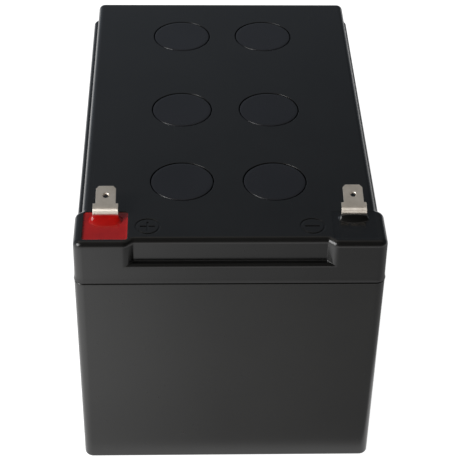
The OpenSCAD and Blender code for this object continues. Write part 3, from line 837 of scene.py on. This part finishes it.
# ---- studio ------------------------------------------------------------------
def studio_floor():
    bpy.ops.mesh.primitive_plane_add(size=6, location=(0, 0, 0))
    o = bpy.context.object
    o.name = "floor"
    t = Tree("floor")
    t.ramp(t.noise(3, 2), "Fac", [(0.3, (0.34, 0.34, 0.34)), (0.7, (0.36, 0.36, 0.36))], t.b, "Base Color")
    t.range(t.noise(8, 2), "Fac", 0.3, 0.7, 0.8, 0.9, t.b, "Roughness")
    t.b.inputs["Specular IOR Level"].default_value = 0.1
    t.b.inputs["Emission Color"].default_value = (1, 1, 1, 1)
    # painted light and shade: the floor glows though it is no lamp, softly and more towards the left in front of the
    # object, with painted shade in front of it and a painted shadow band along its right side
    xyz = t.add("ShaderNodeSeparateXYZ")
    t.link(t.c, "Object", xyz, "Vector")

    slant = t.add("ShaderNodeMath", operation="MULTIPLY_ADD")
    t.link(xyz, "Y", slant, 0)
    slant.inputs[1].default_value = -0.147
    t.link(xyz, "X", slant, 2)

    def along(node, out, times, stops):
        x0, x1 = stops[0][0], stops[-1][0]
        r = t.ramp(t.range(node, out, x0, x1, 0, 1), "Result",
                   [((x - x0) / (x1 - x0), grey(v / times)) for x, v in stops])
        m = t.add("ShaderNodeMath", operation="MULTIPLY")
        m.inputs[1].default_value = times
        t.link(r, "Color", m, 0)
        return m
    # painted light to the left in front of the object, painted shade in front of it and to its right
    near_painted_light_and_shade = along(xyz, "X", 1.5, [(-0.30, 1.05), (-0.10, 1.28), (-0.064, 1.2), (-0.05, 0.92), (0.0, 0.48),
                                 (0.05, 0.32), (0.10, 0.24), (0.14, 0.26), (0.26, 0.75), (0.40, 0.97)])
    # painted shadow band along the object's right side
    right_painted_shadow_band = along(slant, "Value", 1.0, [(-0.10, 0.99), (0.0935, 0.99), (0.1025, 0.36), (0.15, 0.26), (0.25, 0.65),
                                      (0.40, 0.97)])
    # painted shade: darker close to the object's front and further out
    dim = along(xyz, "Y", 1.0, [(-0.20, 0.86), (-0.15, 1.0), (-0.115, 1.0), (-0.09, 0.86)])
    both = t.add("ShaderNodeMath", operation="MULTIPLY")
    t.link(near_painted_light_and_shade, "Value", both, 0)
    t.link(dim, "Value", both, 1)
    # and away from the object it is even again
    away = t.add("ShaderNodeMix", data_type="FLOAT")
    t.link(t.range(xyz, "Y", -0.42, -0.24, 0, 1), "Result", away, "Factor")
    away.inputs["A"].default_value = 0.97
    t.link(both, "Value", away, "B")
    mix = t.add("ShaderNodeMix", data_type="FLOAT")
    t.link(t.range(xyz, "Y", -0.0825, -0.0785, 0, 1), "Result", mix, "Factor")
    t.link(away, "Result", mix, "A")
    t.link(right_painted_shadow_band, "Value", mix, "B")
    t.link(mix, "Result", t.b, "Emission Strength")
    o.data.materials.append(t.m)


def area(name, place, aim, size, power, colour=(1, 1, 1)):
    l = bpy.data.lights.new(name, "AREA")
    l.shape = "RECTANGLE"
    l.size, l.size_y = size
    l.energy = power
    l.color = colour
    o = bpy.data.objects.new(name, l)
    bpy.context.collection.objects.link(o)
    o.location = place
    o.rotation_mode = "QUATERNION"
    o.rotation_quaternion = (Vector(aim) - Vector(place)).to_track_quat("-Z", "Y")
    return o


def studio_world():
    """Soft surroundings: bright low down, dark above the camera, dim behind, a softer light high at the back."""
    world = bpy.data.worlds.new("studio")
    bpy.context.scene.world = world
    world.use_nodes = True
    t = world.node_tree
    t.nodes.clear()
    new, link = t.nodes.new, t.links.new
    tc, xyz = new("ShaderNodeTexCoord"), new("ShaderNodeSeparateXYZ")
    link(tc.outputs["Generated"], xyz.inputs["Vector"])

    def ramp(stops, tint):
        r = new("ShaderNodeValToRGB")
        e = r.color_ramp.elements
        while len(e) < len(stops):
            e.new(0.5)
        for el, (p, v) in zip(e, stops):
            el.position = p
            warm = p >= 0.8
            el.color = (v, v * 0.95, v * 0.88, 1) if warm else (v * tint[0], v * tint[1], v * tint[2], 1)
        link(xyz.outputs["Z"], r.inputs["Fac"])
        return r
    front = ramp([(0.0, 1.15), (0.08, 1.1), (0.20, 0.52), (0.34, 0.11), (0.80, 0.06), (1.0, 0.11)], (1.0, 0.97, 0.95))
    back = ramp([(0.0, 0.85), (0.06, 0.55), (0.15, 0.30), (0.36, 0.26), (0.50, 0.265), (0.66, 0.185), (0.74, 0.24),
                 (0.84, 0.54), (0.90, 0.58), (0.96, 0.28), (1.0, 0.11)], (0.90, 1.0, 1.13))
    side = new("ShaderNodeMapRange")
    side.inputs["From Min"].default_value, side.inputs["From Max"].default_value = -0.15, 0.15
    link(xyz.outputs["Y"], side.inputs["Value"])
    mix = new("ShaderNodeMix")
    mix.data_type = "RGBA"
    link(side.outputs["Result"], mix.inputs[0])
    link(front.outputs["Color"], mix.inputs[6])
    link(back.outputs["Color"], mix.inputs[7])
    bg, out = new("ShaderNodeBackground"), new("ShaderNodeOutputWorld")
    link(mix.outputs[2], bg.inputs["Color"])
    # the left is a little brighter than the right
    lean = new("ShaderNodeMapRange")
    for name, value in (("From Min", -0.12), ("From Max", 0.30), ("To Min", 1.14), ("To Max", 0.50)):
        lean.inputs[name].default_value = value
    link(xyz.outputs["X"], lean.inputs["Value"])
    link(lean.outputs["Result"], bg.inputs["Strength"])
    link(bg.outputs["Background"], out.inputs["Surface"])


studio_floor()
studio_world()
area("key", (-0.80, -0.42, 0.62), (0, -0.05, 0.05), (0.60, 0.75), 8.0)
area("spark", (-0.80, -0.42, 0.62), (0, -0.05, 0.05), (0.12, 0.12), 2.2)

# ---- camera, as in the photo -------------------------------------------------
yaw, pitch, roll = math.radians(-2.25), math.radians(38.25), math.radians(1.23)
fwd0 = Vector((-math.sin(yaw), math.cos(yaw), 0))
right0 = Vector((math.cos(yaw), math.sin(yaw), 0))
up0 = Vector((0, 0, 1))
fwd = fwd0 * math.cos(pitch) - up0 * math.sin(pitch)
up1 = up0 * math.cos(pitch) + fwd0 * math.sin(pitch)
right = right0 * math.cos(roll) + up1 * math.sin(roll)
up2 = up1 * math.cos(roll) - right0 * math.sin(roll)
cam = bpy.data.cameras.new("camera")
cam.sensor_width = 36
cam.lens = 1489.7 / 460 * 36
cam.clip_start, cam.clip_end = 0.01, 20
co = bpy.data.objects.new("camera", cam)
bpy.context.collection.objects.link(co)
co.matrix_world = Matrix(((right.x, up2.x, -fwd.x, -0.01451), (right.y, up2.y, -fwd.y, -0.43346),
                          (right.z, up2.z, -fwd.z, 0.38243), (0, 0, 0, 1)))
scene = bpy.context.scene
scene.camera = co
scene.view_settings.view_transform = "Standard"
scene.view_settings.look = "None"
scene.view_settings.exposure = 0
scene.view_settings.gamma = 1
